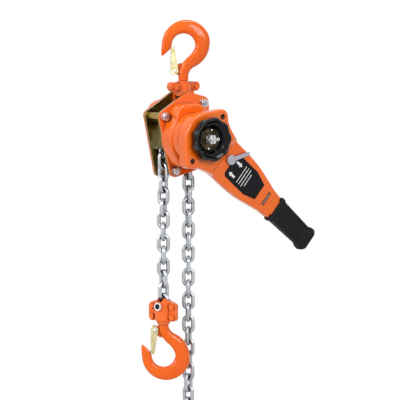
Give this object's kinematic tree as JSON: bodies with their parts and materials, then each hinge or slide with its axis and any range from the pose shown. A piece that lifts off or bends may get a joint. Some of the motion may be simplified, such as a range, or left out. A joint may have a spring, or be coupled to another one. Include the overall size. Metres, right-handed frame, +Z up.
{
  "type": "lever chain hoist",
  "caption": "Lever chain hoist: swivel hooks with latches top and bottom, gear and brake housing between two plates, ratchet lever with rubber grip, handwheel and hanging load chain.",
  "frame": {"origin": "the point at the top of the upper hook's bowl on which the hoist hangs", "axes": "+Z up, -Y towards the handwheel side, +X to the right as seen from the handwheel"},
  "size_m": [0.255, 0.1457, 0.6203],
  "materials": {
    "orange_paint": "glossy orange powder coat",
    "gold_zinc": "yellow zinc plate",
    "bright_zinc": "bright zinc plate",
    "machined_steel": "machined, lightly oiled",
    "spring_steel": "drawn wire",
    "black_oxide": "black oxide",
    "friction": "moulded friction lining",
    "black_rubber": "ribbed rubber",
    "black_gloss": "gloss black",
    "label": "black plate with white arrows",
    "plate_trim": "thin bare plate"
  },
  "bodies": {
    "top_hook_body": {"top_hook": "orange_paint", "top_latch_rivet": "bright_zinc", "top_latch_spring": "spring_steel"},
    "top_latch_body": {"top_latch": "gold_zinc"},
    "yoke": {"top_yoke_front": "orange_paint", "top_yoke_rear": "orange_paint", "top_yoke_bolts": "orange_paint"},
    "hoist": {"top_pin": "machined_steel", "brake_side_plate": "gold_zinc", "gear_side_plate": "gold_zinc", "stay_bolts": "gold_zinc", "cover_studs": "bright_zinc", "front_cover_nuts": "bright_zinc", "rear_cover_nuts": "bright_zinc", "chain_guides": "gold_zinc", "chain_stripper": "gold_zinc", "sheave_bearings": "machined_steel", "pawl_pins": "machined_steel", "pawl_springs": "spring_steel", "brake_cover": "orange_paint", "gear_cover": "orange_paint", "load_chain_upper": "bright_zinc", "slack_chain": "bright_zinc", "chain_end_ring": "bright_zinc"},
    "sheave": {"load_sheave": "machined_steel", "load_gear": "machined_steel", "gear_snap_ring": "machined_steel", "chain_on_sheave": "bright_zinc"},
    "gear_upper": {"upper_gear": "machined_steel"},
    "gear_lower": {"lower_gear": "machined_steel"},
    "drive": {"drive_shaft": "machined_steel", "brake_hub": "machined_steel", "change_gear": "machined_steel", "castle_nut": "bright_zinc", "cotter_pin": "bright_zinc", "free_chain_spring": "spring_steel"},
    "wheel": {"handwheel": "black_gloss", "wheel_ring_plate": "gold_zinc", "wheel_rivets": "bright_zinc"},
    "ratchet": {"ratchet_disc": "machined_steel", "friction_pads": "friction"},
    "pawl_upper": {"upper_pawl": "machined_steel"},
    "pawl_lower": {"lower_pawl": "machined_steel"},
    "lever": {"lever_front_shell": "orange_paint", "lever_rear_shell": "orange_paint", "lever_screws": "black_oxide", "grip": "black_rubber", "label_plate": "label", "data_plate": "plate_trim"},
    "selector_body": {"selector": "bright_zinc", "selector_pawl": "machined_steel"},
    "load_end": {"load_chain": "bright_zinc"},
    "bottom_block": {"bottom_block_front": "orange_paint", "bottom_block_rear": "orange_paint", "bottom_block_bolts": "orange_paint", "chain_pin": "black_oxide"},
    "bottom_hook_body": {"bottom_hook": "orange_paint", "bottom_latch_rivet": "bright_zinc", "bottom_latch_spring": "spring_steel"},
    "bottom_latch_body": {"bottom_latch": "gold_zinc"}
  },
  "joints": [
    {"name": "top_latch_hinge", "type": "hinge", "parent": "top_hook_body", "child": "top_latch_body", "pos_m": [-0.01091, 0.0063, -0.0562], "axis": [0.5, 0.866, 0], "range_deg": [0, 34], "stiffness_Nm_per_rad": 0.02, "springref_deg": -20.05},
    {"name": "top_swivel", "type": "hinge", "parent": "top_hook_body", "child": "yoke", "pos_m": [0, 0, -0.0845], "axis": [0, 0, 1], "continuous": true},
    {"name": "frame_swing", "type": "hinge", "parent": "yoke", "child": "hoist", "pos_m": [0, 0, -0.1005], "axis": [0, 1, 0], "range_deg": [-20, 20]},
    {"name": "sheave_turn", "type": "hinge", "parent": "hoist", "child": "sheave", "pos_m": [-0.0139, 0, -0.1545], "axis": [0, 1, 0], "range_deg": [-1, 46]},
    {"name": "upper_gear_turn", "type": "hinge", "parent": "hoist", "child": "gear_upper", "pos_m": [-0.01787, 0.034, -0.12628], "axis": [0, 1, 0], "range_deg": [-127, 1]},
    {"name": "lower_gear_turn", "type": "hinge", "parent": "hoist", "child": "gear_lower", "pos_m": [-0.00993, 0.034, -0.18272], "axis": [0, 1, 0], "range_deg": [-127, 1]},
    {"name": "drive_turn", "type": "hinge", "parent": "hoist", "child": "drive", "pos_m": [-0.0139, -0.04, -0.1545], "axis": [0, 1, 0], "range_deg": [-1, 354]},
    {"name": "wheel_pull", "type": "slide", "parent": "drive", "child": "wheel", "axis": [0, -1, 0], "range_m": [0, 0.0025]},
    {"name": "ratchet_turn", "type": "hinge", "parent": "hoist", "child": "ratchet", "pos_m": [-0.0139, -0.033, -0.1545], "axis": [0, 1, 0], "range_deg": [0, 18]},
    {"name": "upper_pawl_hinge", "type": "hinge", "parent": "hoist", "child": "pawl_upper", "pos_m": [-0.02792, -0.033, -0.11597], "axis": [0, 1, 0], "range_deg": [-10, 0]},
    {"name": "lower_pawl_hinge", "type": "hinge", "parent": "hoist", "child": "pawl_lower", "pos_m": [0.00012, -0.033, -0.19303], "axis": [0, 1, 0], "range_deg": [-10, 0]},
    {"name": "lever_swing", "type": "hinge", "parent": "hoist", "child": "lever", "pos_m": [-0.0139, -0.072, -0.1545], "axis": [0, 1, 0], "continuous": true},
    {"name": "selector_turn", "type": "hinge", "parent": "lever", "child": "selector_body", "pos_m": [0.03172, -0.072, -0.18807], "axis": [0, 1, 0], "range_deg": [-28, 28]},
    {"name": "hook_travel", "type": "slide", "parent": "hoist", "child": "load_end", "axis": [0, 0, 1], "range_m": [0, 0.018], "deforming": ["load_chain_upper", "slack_chain"]},
    {"name": "block_swing", "type": "hinge", "parent": "load_end", "child": "bottom_block", "pos_m": [-0.03687, 0, -0.41175], "axis": [0.9397, 0.342, 0], "range_deg": [-4, 4]},
    {"name": "bottom_swivel", "type": "hinge", "parent": "bottom_block", "child": "bottom_hook_body", "pos_m": [-0.03687, 0, -0.42875], "axis": [0, 0, 1], "continuous": true},
    {"name": "bottom_latch_hinge", "type": "hinge", "parent": "bottom_hook_body", "child": "bottom_latch_body", "pos_m": [-0.04719, 0.00723, -0.44825], "axis": [-0.5736, -0.8192, 0], "range_deg": [0, 34], "stiffness_Nm_per_rad": 0.02, "springref_deg": -20.05}
  ],
  "couplings": [
    {"joint": "sheave_turn", "follows": "hook_travel", "rad_per_m": 43.633},
    {"joint": "upper_gear_turn", "follows": "hook_travel", "rad_per_m": -122.17},
    {"joint": "lower_gear_turn", "follows": "hook_travel", "rad_per_m": -122.17},
    {"joint": "drive_turn", "follows": "hook_travel", "rad_per_m": 342.08},
    {"joint": "upper_pawl_hinge", "follows": "ratchet_turn", "ratio": -0.55556},
    {"joint": "lower_pawl_hinge", "follows": "ratchet_turn", "ratio": -0.55556}
  ]
}
